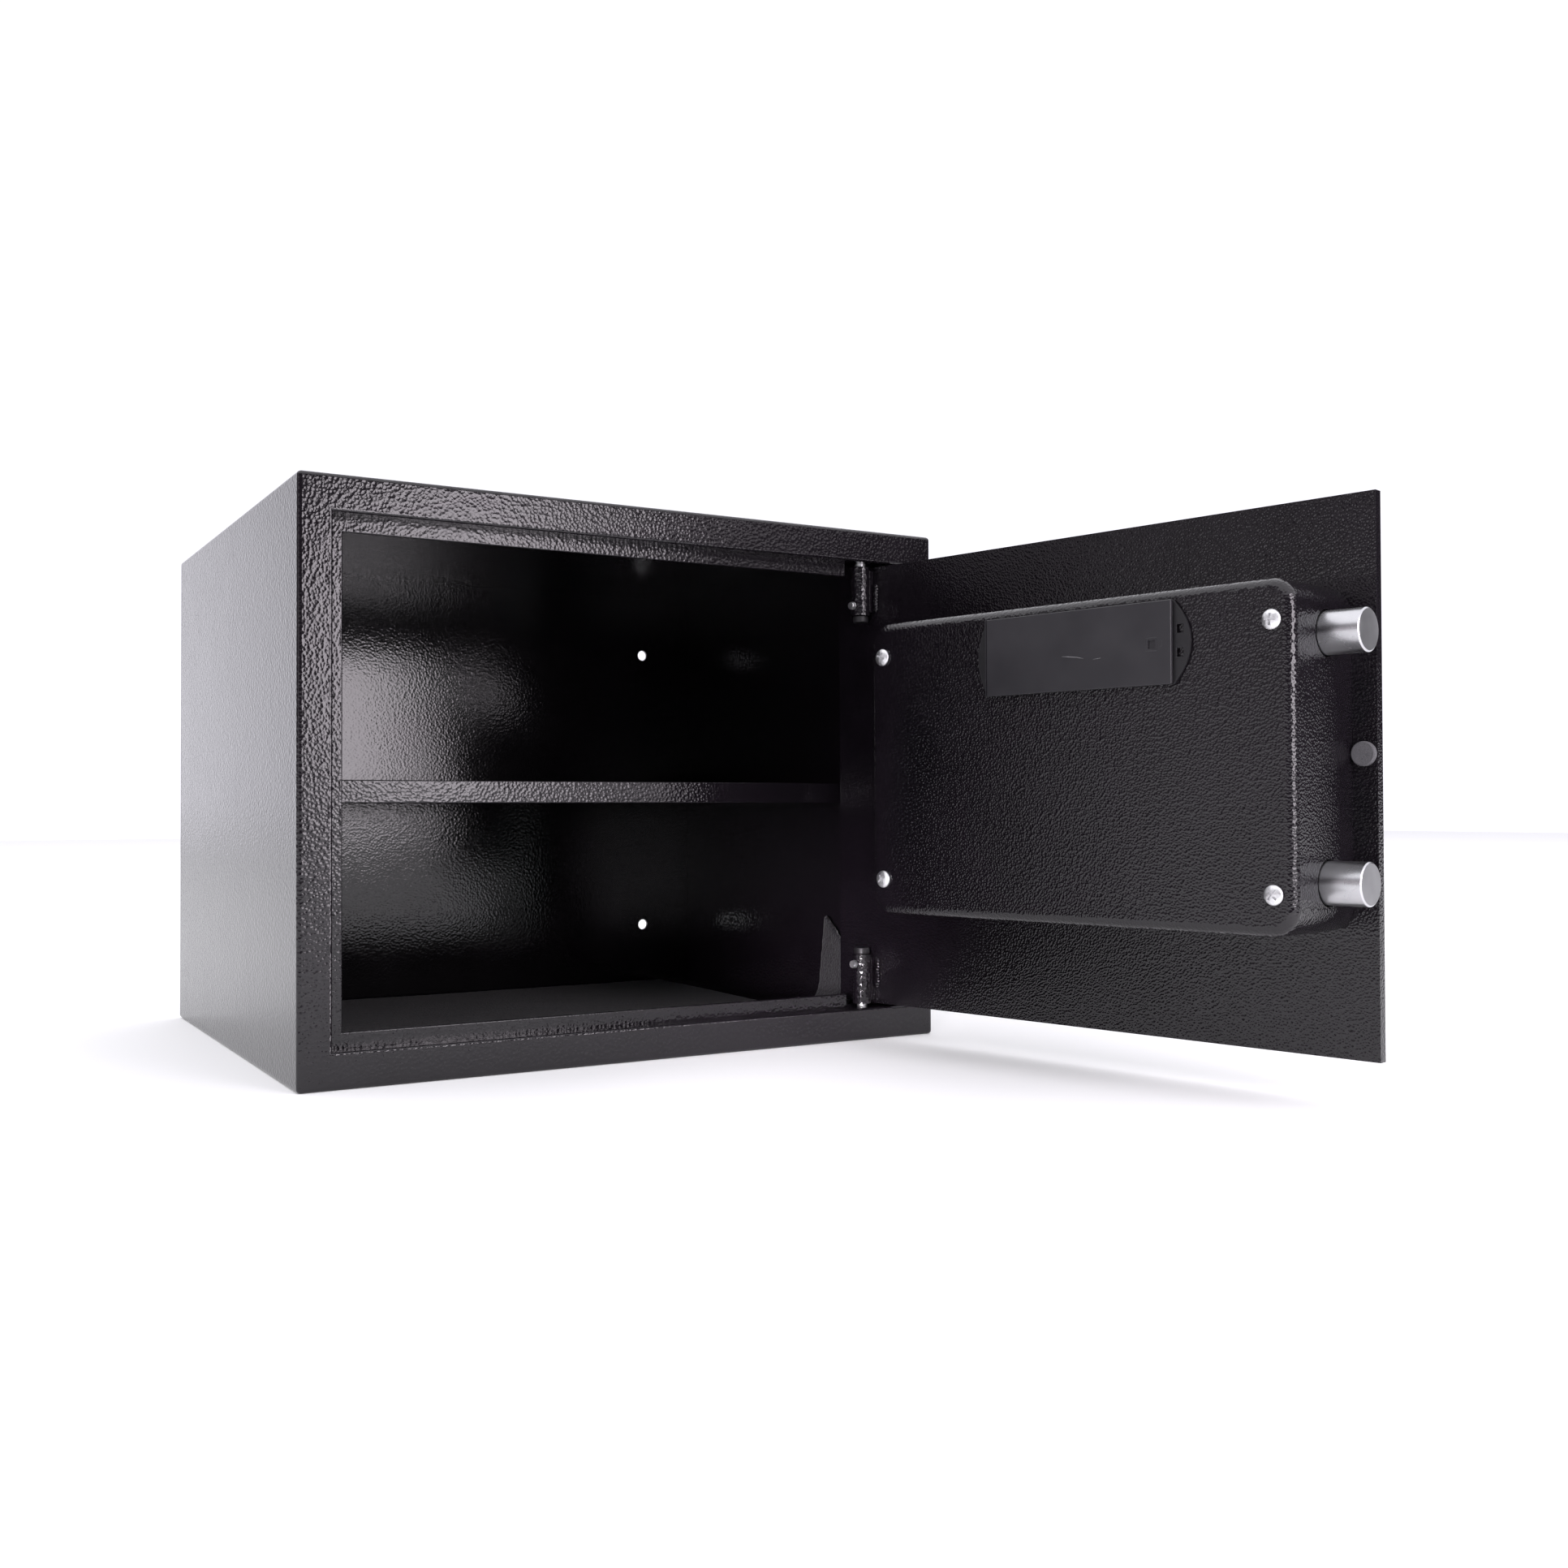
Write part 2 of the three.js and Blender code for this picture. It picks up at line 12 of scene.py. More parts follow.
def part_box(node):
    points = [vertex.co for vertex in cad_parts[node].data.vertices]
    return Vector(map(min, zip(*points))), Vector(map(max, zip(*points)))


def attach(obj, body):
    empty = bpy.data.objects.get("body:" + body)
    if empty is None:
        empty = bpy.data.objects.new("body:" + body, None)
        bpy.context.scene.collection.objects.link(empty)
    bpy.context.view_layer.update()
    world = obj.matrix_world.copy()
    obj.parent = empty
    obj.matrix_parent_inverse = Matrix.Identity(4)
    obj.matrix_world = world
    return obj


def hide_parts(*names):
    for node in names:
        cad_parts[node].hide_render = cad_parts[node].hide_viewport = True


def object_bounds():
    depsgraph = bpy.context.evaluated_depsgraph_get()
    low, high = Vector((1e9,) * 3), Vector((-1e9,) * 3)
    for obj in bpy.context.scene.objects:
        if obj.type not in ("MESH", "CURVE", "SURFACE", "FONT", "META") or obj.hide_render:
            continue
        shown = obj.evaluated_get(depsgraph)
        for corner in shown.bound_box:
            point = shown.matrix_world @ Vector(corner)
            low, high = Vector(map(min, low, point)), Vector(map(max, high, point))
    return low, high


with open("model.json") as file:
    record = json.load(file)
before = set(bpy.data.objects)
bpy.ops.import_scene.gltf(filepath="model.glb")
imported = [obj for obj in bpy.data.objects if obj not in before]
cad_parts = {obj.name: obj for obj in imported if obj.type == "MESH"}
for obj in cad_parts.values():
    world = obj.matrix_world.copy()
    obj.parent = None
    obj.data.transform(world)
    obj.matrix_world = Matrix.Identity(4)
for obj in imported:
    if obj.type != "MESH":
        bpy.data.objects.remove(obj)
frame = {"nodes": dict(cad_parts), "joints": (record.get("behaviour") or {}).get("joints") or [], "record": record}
CAD_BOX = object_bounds()
MM = 0.001
scene = bpy.context.scene

# ---------------------------------------------------------------- the door's frame of its own
hinge = next(j for j in frame["joints"] if j["name"] == "door_hinge")
PIVOT = Vector(hinge["pos_m"])
OPEN_ANGLE = -math.radians(hinge["range_deg"][0])
OPEN = Matrix.Translation(PIVOT) @ Matrix.Rotation(OPEN_ANGLE, 4, "Z") @ Matrix.Translation(-PIVOT)
CLOSED = OPEN.inverted()
BODY_OF = {n: b for b, ns in frame["record"]["behaviour"]["bodies"].items() for n in ns}
SLOT_OF = {s["node"]: s["material_slot"] for s in frame["record"]["subparts"]}


def closed_box(node):
    """The box of a door node, measured as if the door were shut."""
    points = [CLOSED @ v.co for v in frame["nodes"][node].data.vertices]
    low = Vector([min(p[i] for p in points) for i in range(3)])
    high = Vector([max(p[i] for p in points) for i in range(3)])
    return low, high


# ---------------------------------------------------------------- materials
CELL_SHARE = 0.8  # scale of the relief's cells against its noise


def principled(name):
    """A new material, its node tree and its main shader."""
    mat = bpy.data.materials.new(name)
    mat.use_nodes = True
    tree = mat.node_tree
    return mat, tree, tree.nodes["Principled BSDF"]


def node(tree, kind, **inputs):
    """A new node with its inputs set by name."""
    made = tree.nodes.new(kind)
    for key, value in inputs.items():
        made.inputs[key.replace("_", " ")].default_value = value
    return made


def ranged(tree, source, start, end):
    """Maps the values between the pair start on to the pair end."""
    made = tree.nodes.new("ShaderNodeMapRange")
    for socket, value in zip(("From Min", "From Max", "To Min", "To Max"), (*start, *end)):
        made.inputs[socket].default_value = value
    tree.links.new(source, made.inputs["Value"])
    return made


def math_node(tree, operation, *values):
    """A maths node whose inputs are numbers or sockets."""
    made = tree.nodes.new("ShaderNodeMath")
    made.operation = operation
    for k, value in enumerate(values):
        if isinstance(value, bpy.types.NodeSocket):
            tree.links.new(value, made.inputs[k])
        else:
            made.inputs[k].default_value = value
    return made.outputs[0]


def ramp_between(tree, source, dark, light, start=0.0, end=1.0):
    """A colour that goes from dark to light while the source goes from start to end."""
    made = tree.nodes.new("ShaderNodeValToRGB")
    for stop, place, colour in zip(made.color_ramp.elements, (start, end), (dark, light)):
        stop.position = place
        stop.color = (*colour, 1)
    tree.links.new(source, made.inputs["Fac"])
    return made.outputs["Color"]


def textured(name, dark, light, rough, metal=0.0, scale=500.0, bump=0.3, depth=0.0003, cells=0.5,
             stretch=(1, 1, 1), spot=0.0, specular=0.5, sheen=0.0, tint_scale=35.0):
    """A surface whose colour, gloss and relief all vary.

    dark and light bound the colour and rough the roughness. The relief is noise mixed with cells, of the
    given scale, and depth is its height in metres. spot is how much of the colour follows the fine noise.
    """
    mat, tree, shader = principled(name)
    link = tree.links.new
    place = node(tree, "ShaderNodeTexCoord")
    mapping = node(tree, "ShaderNodeMapping")
    mapping.inputs["Scale"].default_value = stretch
    link(place.outputs["Object"], mapping.inputs["Vector"])
    fine = node(tree, "ShaderNodeTexNoise", Scale=scale, Detail=2.0, Roughness=0.5)
    link(mapping.outputs[0], fine.inputs["Vector"])
    cell = node(tree, "ShaderNodeTexVoronoi", Scale=scale * CELL_SHARE)
    link(mapping.outputs[0], cell.inputs["Vector"])
    height = tree.nodes.new("ShaderNodeMix")
    height.inputs["Factor"].default_value = cells
    link(fine.outputs["Fac"], height.inputs["A"])
    link(cell.outputs["Distance"], height.inputs["B"])
    relief = node(tree, "ShaderNodeBump", Strength=bump, Distance=depth)
    link(height.outputs["Result"], relief.inputs["Height"])
    link(relief.outputs["Normal"], shader.inputs["Normal"])
    broad = node(tree, "ShaderNodeTexNoise", Scale=tint_scale, Detail=3.0, Roughness=0.6)
    link(place.outputs["Object"], broad.inputs["Vector"])
    grain = math_node(tree, "MULTIPLY", fine.outputs["Fac"], spot)
    blend = math_node(tree, "MULTIPLY_ADD", broad.outputs["Fac"], 1.0 - spot, grain)
    link(ramp_between(tree, blend, dark, light, 0.35, 0.68), shader.inputs["Base Color"])
    gloss = ranged(tree, broad.outputs["Fac"], (0.3, 0.7), rough)
    link(gloss.outputs["Result"], shader.inputs["Roughness"])
    shader.inputs["Metallic"].default_value = metal
    shader.inputs["Specular IOR Level"].default_value = specular
    if sheen:
        shader.inputs["Sheen Weight"].default_value = sheen
        shader.inputs["Sheen Roughness"].default_value = 0.6
    return mat


MATS = {
    "coat": textured("powder coat", (0.0066, 0.0050, 0.0070), (0.0084, 0.0066, 0.0090), (0.125, 0.155),
                     scale=720, bump=1.0, depth=0.00019, cells=0.7),
    "door_coat": textured("powder coat on the door", (0.0056, 0.0043, 0.0060), (0.0074, 0.0058, 0.0080),
                          (0.12, 0.15), scale=1000, bump=1.0, depth=0.0002, cells=0.9),
    # The inside coat is the same powder coat with its colour painted darker, as shade inside the cabinet; its lower
    # roughness and finer relief are its own.
    "inner_coat_painted_shade": textured("powder coat inside with painted shade", (0.0034, 0.0028, 0.0036), (0.0046, 0.0039, 0.0049), (0.10, 0.12),
                           scale=700, bump=1.0, depth=0.00009, cells=0.5),
    "weld_coat": textured("coat over weld", (0.0066, 0.0050, 0.0070), (0.0084, 0.0066, 0.0090), (0.10, 0.14),
                          scale=620, bump=1.0, depth=0.0005, cells=0.5),
    "steel": textured("satin nickel", (0.50, 0.50, 0.515), (0.62, 0.62, 0.635), (0.24, 0.33), metal=1.0,
                      scale=900, bump=0.06, depth=0.0001, stretch=(3, 3, 0.25)),
    "steel_end": textured("turned end", (0.34, 0.34, 0.35), (0.44, 0.44, 0.45), (0.42, 0.5), metal=1.0,
                          scale=1500, bump=0.1, depth=0.0001),
    "zinc": textured("bright zinc", (0.66, 0.66, 0.67), (0.90, 0.90, 0.91), (0.34, 0.5), metal=1.0,
                     scale=700, bump=0.6, depth=0.0004, spot=0.4, tint_scale=260),
    "raw": textured("plain steel", (0.27, 0.27, 0.28), (0.38, 0.38, 0.39), (0.35, 0.5), metal=1.0,
                    scale=300, bump=0.08, depth=0.0001, stretch=(1, 1, 6)),
    "brass": textured("brass", (0.52, 0.36, 0.13), (0.68, 0.5, 0.2), (0.2, 0.32), metal=1.0, scale=800,
                      bump=0.05, depth=0.0001),
    "felt": textured("needle felt", (0.005, 0.0045, 0.0055), (0.025, 0.0235, 0.027), (0.92, 1.0), scale=800,
                     bump=1.0, depth=0.0009, cells=0.25, spot=0.75, specular=0.05, sheen=0.12, tint_scale=60),
    "pad": textured("foam pad", (0.085, 0.083, 0.088), (0.14, 0.137, 0.145), (0.85, 0.95), scale=2200, bump=0.5,
                    depth=0.0002, spot=0.6, specular=0.2),
    "plastic": textured("moulded plastic", (0.010, 0.0095, 0.011), (0.016, 0.015, 0.017), (0.38, 0.5),
                        scale=2600, bump=0.25, depth=0.0001, specular=0.4),
    "lid": textured("lid plastic", (0.020, 0.019, 0.022), (0.029, 0.0275, 0.031), (0.3, 0.42), scale=1500,
                    bump=0.05, depth=0.0001, specular=0.45, tint_scale=22),
    "mark": textured("scuff", (0.16, 0.158, 0.165), (0.34, 0.335, 0.345), (0.5, 0.7), scale=3000, bump=0.4,
                     depth=0.0001, spot=0.7),
    "keys": textured("key rubber", (0.20, 0.20, 0.205), (0.24, 0.24, 0.245), (0.55, 0.7), scale=2400, bump=0.2,
                     depth=0.0001, specular=0.3),
    "print": textured("key print", (0.006, 0.006, 0.006), (0.012, 0.012, 0.012), (0.5, 0.6), scale=2400, bump=0.1,
                      depth=0.0001),
    "wrap": textured("cell wrap", (0.33, 0.16, 0.04), (0.42, 0.22, 0.06), (0.22, 0.32), scale=900, bump=0.05,
                     depth=0.0001, metal=0.4),
    "board": textured("solder mask", (0.01, 0.06, 0.03), (0.015, 0.085, 0.045), (0.3, 0.42), scale=1600, bump=0.1,
                      depth=0.0001),
}


# ---------------------------------------------------------------- mesh helpers
def publish(name, bm, mat, body, slot, *replaced, closed=False, sharp=38.0):
    """Turns a bmesh into a piece that rides on its body and stands for CAD nodes."""
    if closed:
        bm.transform(OPEN)
    bm.normal_update()
    for face in bm.faces:
        face.smooth = True
    for edge in bm.edges:
        if len(edge.link_faces) == 2:
            edge.smooth = edge.calc_face_angle(0.0) < math.radians(sharp)
    mesh = bpy.data.meshes.new(name)
    bm.to_mesh(mesh)
    bm.free()
    piece = bpy.data.objects.new(name, mesh)
    scene.collection.objects.link(piece)
    mesh.materials.append(MATS[mat])
    even = piece.modifiers.new("even shading", "WEIGHTED_NORMAL")
    even.keep_sharp = True
    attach(piece, body)
    if replaced:
        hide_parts(*replaced)
    return piece


def copied(name):
    """The node's solid as a bmesh with its flat faces joined up."""
    bm = bmesh.new()
    bm.from_mesh(frame["nodes"][name].data)
    bmesh.ops.remove_doubles(bm, verts=bm.verts, dist=2e-6)
    bmesh.ops.dissolve_limit(bm, angle_limit=math.radians(0.5), verts=bm.verts, edges=bm.edges)
    return bm


def soften(bm, width, segments=3, angle=32.0, keep=None):
    """Rounds the edges that are sharper than angle, in degrees, and that keep accepts."""
    edges = [e for e in bm.edges if len(e.link_faces) == 2 and e.calc_face_angle(0.0) > math.radians(angle)
             and (keep is None or keep(e))]
    bmesh.ops.bevel(bm, geom=edges, offset=width, segments=segments, profile=0.5, affect="EDGES",
                    clamp_overlap=True)


def refine(name, mat, width=0.4 * MM, segments=2, angle=32.0):
    """A CAD solid with rounded edges, as a piece that takes its place."""
    bm = copied(name)
    soften(bm, width, segments, angle)
    return publish(name + "_skin", bm, mat, BODY_OF[name], SLOT_OF[name], name)


def turned(profile, origin, axis, sides=72):
    """A solid of revolution: profile is [(radius, distance along the axis)], from axis to axis."""
    axis = Vector(axis).normalized()
    side = axis.orthogonal().normalized()
    other = axis.cross(side)
    bm = bmesh.new()
    rings = []
    for radius, along in profile:
        centre = Vector(origin) + axis * along
        if radius < 1e-7:
            rings.append([bm.verts.new(centre)])
            continue
        rings.append([bm.verts.new(centre + (side * math.cos(a) + other * math.sin(a)) * radius)
                      for a in (2 * math.pi * k / sides for k in range(sides))])
    for low, high in zip(rings, rings[1:]):
        for k in range(sides):
            n = (k + 1) % sides
            quad = [low[k % len(low)], low[n % len(low)], high[n % len(high)], high[k % len(high)]]
            bm.faces.new(list(dict.fromkeys(quad)))
    bmesh.ops.recalc_face_normals(bm, faces=bm.faces)
    return bm


def box_bm(low, high):
    """A box between two corners."""
    bm = bmesh.new()
    bmesh.ops.create_cube(bm, size=1.0)
    for v in bm.verts:
        v.co = Vector([low[i] + (v.co[i] + 0.5) * (high[i] - low[i]) for i in range(3)])
    return bm


def carve(bm, cutters):
    """Cuts closed bmeshes out of bm, and gives a new bmesh."""
    made = []
    for each in [bm, *cutters]:
        mesh = bpy.data.meshes.new("carving")
        each.to_mesh(mesh)
        each.free()
        piece = bpy.data.objects.new("carving", mesh)
        scene.collection.objects.link(piece)
        made.append(piece)
    for cutter in made[1:]:
        cut = made[0].modifiers.new("cut", "BOOLEAN")
        cut.operation = "DIFFERENCE"
        cut.solver = "EXACT"
        cut.object = cutter
    bpy.context.view_layer.update()
    result = bmesh.new()
    result.from_object(made[0], bpy.context.evaluated_depsgraph_get())
    for piece in made:
        mesh = piece.data
        bpy.data.objects.remove(piece)
        bpy.data.meshes.remove(mesh)
    return result


# ---------------------------------------------------------------- camera
CAMERA_AT = (-0.36346, -0.91029, 0.13592)
YAW, PITCH, ROLL = math.radians(30.81), math.radians(0.92), math.radians(-0.2)
SENSOR_MM, LENS_MM = 36.0, 35.2148

forward = Vector((math.sin(YAW) * math.cos(PITCH), math.cos(YAW) * math.cos(PITCH), math.sin(PITCH)))
right = Vector((math.cos(YAW), -math.sin(YAW), 0))
up = right.cross(forward)
turned_right = right * math.cos(ROLL) + up * math.sin(ROLL)
turned_up = up * math.cos(ROLL) - right * math.sin(ROLL)
camera = bpy.data.objects.new("camera", bpy.data.cameras.new("camera"))
scene.collection.objects.link(camera)
camera.matrix_world = Matrix.Translation(CAMERA_AT) @ Matrix(
    (turned_right, turned_up, -forward)).transposed().to_4x4()
camera.data.sensor_width = SENSOR_MM
camera.data.lens = LENS_MM
camera.data.clip_start = 0.01
scene.camera = camera

# ---------------------------------------------------------------- cabinet
low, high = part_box("cabinet_shell")
NEAR = 0.05 * MM
FOLD_RADIUS = 2.2 * MM
MOUTH_RADIUS = 1.5 * MM
LONG_EDGE = 0.2


def on_outside(e):
    """An edge of the wrap's outer corners, but not of its rear rim."""
    mid = (e.verts[0].co + e.verts[1].co) / 2
    along_y = abs(e.verts[0].co.y - e.verts[1].co.y) > LONG_EDGE
    outer_x = min(abs(mid.x - low.x), abs(mid.x - high.x)) < NEAR
    outer_z = min(abs(mid.z - low.z), abs(mid.z - high.z)) < NEAR
    in_front = abs(mid.y - low.y) < NEAR
    return (along_y and outer_x and outer_z) or (in_front and (outer_x or outer_z))


def at_mouth(e):
    """An edge of the front border."""
    mid = (e.verts[0].co + e.verts[1].co) / 2
    return abs(mid.y - low.y) < NEAR


bm = copied("cabinet_shell")
soften(bm, FOLD_RADIUS, 5, keep=on_outside)
soften(bm, MOUTH_RADIUS, 4, keep=at_mouth)
publish("cabinet_shell_skin", bm, "coat", "cabinet", SLOT_OF["cabinet_shell"], "cabinet_shell")

back_low, back_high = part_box("back_panel")


def at_back_corner(e):
    """One of the short edges at the corners of the back panel."""
    mid = (e.verts[0].co + e.verts[1].co) / 2
    return (min(abs(mid.x - back_low.x), abs(mid.x - back_high.x)) < NEAR
            and min(abs(mid.z - back_low.z), abs(mid.z - back_high.z)) < NEAR)


bm = copied("back_panel")
soften(bm, FOLD_RADIUS, 5, keep=at_back_corner)
# The back panel takes the inside coat, whose darker colour is painted shade.
publish("back_panel_skin", bm, "inner_coat_painted_shade", "cabinet", SLOT_OF["back_panel"], "back_panel")

refine("door_stop_frame", "coat", 0.7 * MM, 3)
refine("pivot_lug_lower", "coat", 0.5 * MM)
refine("pivot_lug_upper", "coat", 0.5 * MM)
refine("shelf", "coat", 0.7 * MM, 3)
# The shelf rests take the inside coat, whose darker colour is painted shade.
refine("shelf_rest_left", "inner_coat_painted_shade", 0.4 * MM)
refine("shelf_rest_right", "inner_coat_painted_shade", 0.4 * MM)

# The felt mat: an even remesh of its solid, with soft waves and a fuzzy edge above a flat sole.
FELT_MESH = 1.1 * MM
SOLE = 1.5 * MM
WAVE, WAVE_SCALE = 0.35 * MM, 28.0
FUZZ, FUZZ_SCALE = 0.12 * MM, 420.0
bm = copied("floor_mat")
mat_mesh = bpy.data.meshes.new("floor_mat_felt")
bm.to_mesh(mat_mesh)
bm.free()
felt = bpy.data.objects.new("floor_mat_felt", mat_mesh)
scene.collection.objects.link(felt)
remesh = felt.modifiers.new("even", "REMESH")
remesh.mode = "VOXEL"
remesh.voxel_size = FELT_MESH
bpy.context.view_layer.update()
bm = bmesh.new()
bm.from_object(felt, bpy.context.evaluated_depsgraph_get())
bpy.data.objects.remove(felt)
bmesh.ops.smooth_vert(bm, verts=bm.verts, factor=0.5, use_axis_x=True, use_axis_y=True, use_axis_z=True)
mat_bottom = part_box("floor_mat")[0].z
for v in bm.verts:
    if v.co.z > mat_bottom + SOLE:
        v.co.z += WAVE * noise.noise(v.co * WAVE_SCALE)
        v.co += FUZZ * noise.noise_vector(v.co * FUZZ_SCALE)
mat_piece = publish("floor_mat_felt", bm, "felt", "cabinet", "felt", "floor_mat", sharp=80)

# ---------------------------------------------------------------- door
BEAD_PLACE = {"lower": 0.63, "upper": 0.37}  # the bead's middle, as a share of the saddle's height
BEAD_SEED = {"lower": 11, "upper": 12}
BEAD_BLOBS, BEAD_PITCH = 9, 1.75 * MM

refine("door_plate", "door_coat", 0.7 * MM, 3)
for tag in ("lower", "upper"):
    refine(f"hinge_barrel_{tag}", "weld_coat", 0.5 * MM, 3)
    refine(f"hinge_cap_{tag}", "plastic", 0.5 * MM, 3)
    low, high = closed_box(f"hinge_pin_{tag}")
    r = (high.x - low.x) / 2
    centre = Vector(((low.x + high.x) / 2, (low.y + high.y) / 2, low.z))
    long = high.z - low.z
    bm = turned([(0, 0), (r - 0.5 * MM, 0), (r, 0.5 * MM), (r, long - 0.8 * MM), (r - 0.8 * MM, long), (0, long)],
                centre, (0, 0, 1), 48)
    publish(f"hinge_pin_{tag}_skin", bm, "zinc", "door", "zinc_steel", f"hinge_pin_{tag}", closed=True)
    refine(f"hinge_screw_{tag}", "zinc", 0.3 * MM, 2)
    # the weld bead that holds the barrel's saddle to the plate
    saddle_low, saddle_high = closed_box(f"hinge_barrel_{tag}")
    plate_y = closed_box("door_plate")[1].y
    random.seed(BEAD_SEED[tag])
    bead = bmesh.new()
    middle = saddle_low.z + BEAD_PLACE[tag] * (saddle_high.z - saddle_low.z)
    for k in range(BEAD_BLOBS):
        blob = bmesh.ops.create_icosphere(bead, subdivisions=3, radius=1.0)["verts"]
        size = Vector((1.5 + 0.3 * random.random(), 1.0 + 0.3 * random.random(), 1.5)) * MM
        at = Vector((saddle_low.x - 1.6 * MM + 0.5 * MM * random.random(), plate_y + 0.75 * MM,
                     middle + (k - BEAD_BLOBS // 2) * BEAD_PITCH))
        for v in blob:
            v.co = Vector([v.co[i] * size[i] + at[i] for i in range(3)])
    publish(f"hinge_weld_{tag}", bead, "weld_coat", "door", "black_coat", closed=True, sharp=60)

# the bumper disc
low, high = closed_box("door_bumper")
r = (high.x - low.x) / 2
thick = high.y - low.y
bm = turned([(0, 0), (r - 0.2 * MM, 0), (r, 0.2 * MM), (r, thick - 0.5 * MM), (r - 0.5 * MM, thick), (0, thick)],
            ((low.x + high.x) / 2, low.y, (low.z + high.z) / 2), (0, 1, 0), 64)
publish("door_bumper_skin", bm, "pad", "door", "pad", "door_bumper", closed=True)

# The lock cover: a folded box with rolled edges and round corners, open towards the plate.
low, high = closed_box("lock_cover")
CORNER, ROLL, SHEET = 12 * MM, 5 * MM, 1.5 * MM
STEPS, ROLL_STEPS, LINING_STEPS = 8, 8, 4
BOLT_PLAY = 0.7 * MM


def ring(bm, inset, y):
    """A rounded rectangle of vertices, set in from the cover's outline."""
    radius = CORNER - inset
    made = []
    for cx, cz, start in ((high.x - CORNER, high.z - CORNER, 0), (low.x + CORNER, high.z - CORNER, 90),
                          (low.x + CORNER, low.z + CORNER, 180), (high.x - CORNER, low.z + CORNER, 270)):
        for k in range(STEPS + 1):
            a = math.radians(start + 90 * k / STEPS)
            made.append(bm.verts.new((cx + radius * math.cos(a), y, cz + radius * math.sin(a))))
    return made


def stitch(bm, rings):
    """Joins each ring of vertices to the next one by a band of faces."""
    for one, two in zip(rings, rings[1:]):
        for k in range(len(one)):
            n = (k + 1) % len(one)
            bm.faces.new((one[k], one[n], two[n], two[k]))


bm = bmesh.new()
skin = [ring(bm, 0, low.y), ring(bm, 0, high.y - ROLL)]
for k in range(1, ROLL_STEPS + 1):
    a = math.radians(90 * k / ROLL_STEPS)
    skin.append(ring(bm, ROLL * (1 - math.cos(a)), high.y - ROLL + ROLL * math.sin(a)))
lining = [ring(bm, SHEET, low.y), ring(bm, SHEET, high.y - ROLL)]
for k in range(1, LINING_STEPS + 1):
    a = math.radians(90 * k / LINING_STEPS)
    small = ROLL - SHEET
    lining.append(ring(bm, SHEET + small * (1 - math.cos(a)), high.y - ROLL + small * math.sin(a)))
stitch(bm, skin)
stitch(bm, lining)
stitch(bm, [skin[0], lining[0]])
bm.faces.new(skin[-1])
bm.faces.new(lining[-1])
bmesh.ops.recalc_face_normals(bm, faces=bm.faces)
cutters = []
for tag in ("lower", "upper"):
    bolt_low, bolt_high = closed_box(f"bolt_{tag}")
    r = (bolt_high.z - bolt_low.z) / 2 + BOLT_PLAY
    start = (low.x - 8 * MM, (bolt_low.y + bolt_high.y) / 2, (bolt_low.z + bolt_high.z) / 2)
    cutters.append(turned([(0, 0), (r, 0), (r, 20 * MM), (0, 20 * MM)], start, (1, 0, 0)))
tray_low, tray_high = closed_box("battery_cover")
cutters.append(box_bm((tray_low.x + 1 * MM, high.y - 9 * MM, tray_low.z + 2 * MM),
                      (tray_high.x - 1 * MM, high.y + 9 * MM, tray_high.z - 2 * MM)))
bm = carve(bm, cutters)
publish("lock_cover_skin", bm, "door_coat", "door", SLOT_OF["lock_cover"], "lock_cover", closed=True)

# Pan head screws with a cross recess.
HEAD_HEIGHT = 2.4 * MM
RECESS_LONG, RECESS_NARROW = 2.7, 0.55  # half sizes of the cross, in millimetres
for k in range(1, 5):
    low, high = closed_box(f"cover_screw_{k}")
    r = (high.x - low.x) / 2
    centre = Vector(((low.x + high.x) / 2, high.y, (low.z + high.z) / 2))
    head = HEAD_HEIGHT
    dome = [(r * math.sin(math.radians(a)), -head * 0.78 * (1 - math.cos(math.radians(a))) ** 0.9)
            for a in (0, 15, 28, 40, 50, 60, 68, 76, 84, 90)]
    profile = dome + [(r, -head + 0.2 * MM), (r - 0.3 * MM, -head), (2 * MM, -head), (2 * MM, low.y - high.y),
                      (0, low.y - high.y)]
    bm = turned(profile, centre, (0, 1, 0), 48)
    spin = Matrix.Rotation(math.radians(12 + 37 * k), 4, "Y")
    cutters = []
    for wide, tall in ((RECESS_LONG, RECESS_NARROW), (RECESS_NARROW, RECESS_LONG)):
        cross = box_bm((-wide * MM, -1.5 * MM, -tall * MM), (wide * MM, 3 * MM, tall * MM))
        cross.transform(Matrix.Translation(centre) @ spin)
        cutters.append(cross)
    bm = carve(bm, cutters)
    publish(f"cover_screw_{k}_skin", bm, "zinc", "door", "zinc_steel", f"cover_screw_{k}", closed=True, sharp=30)

# Battery tray and lid.
refine("battery_tray", "plastic", 0.35 * MM, 2)
for k in range(1, 5):
    refine(f"battery_{k}", "wrap", 0.3 * MM, 2)
low, high = closed_box("battery_cover")
bm = box_bm(low, high)
soften(bm, 0.45 * MM, 3)
cutters = []
mark = Vector((low.x + 10.2 * MM, high.y, low.z + 19 * MM))
cutters.append(box_bm(mark - Vector((1.9, 0.8, 1.9)) * MM, mark + Vector((1.9, 3, 1.9)) * MM))
cutters.append(box_bm((high.x - 1.5 * MM, high.y - 0.5 * MM, low.z - 1 * MM),
                      (high.x - 0.9 * MM, high.y + 1 * MM, high.z + 1 * MM)))
bm = carve(bm, cutters)
lid = publish("battery_cover_skin", bm, "lid", "battery_lid", SLOT_OF["battery_cover"], "battery_cover",
              closed=True, sharp=30)

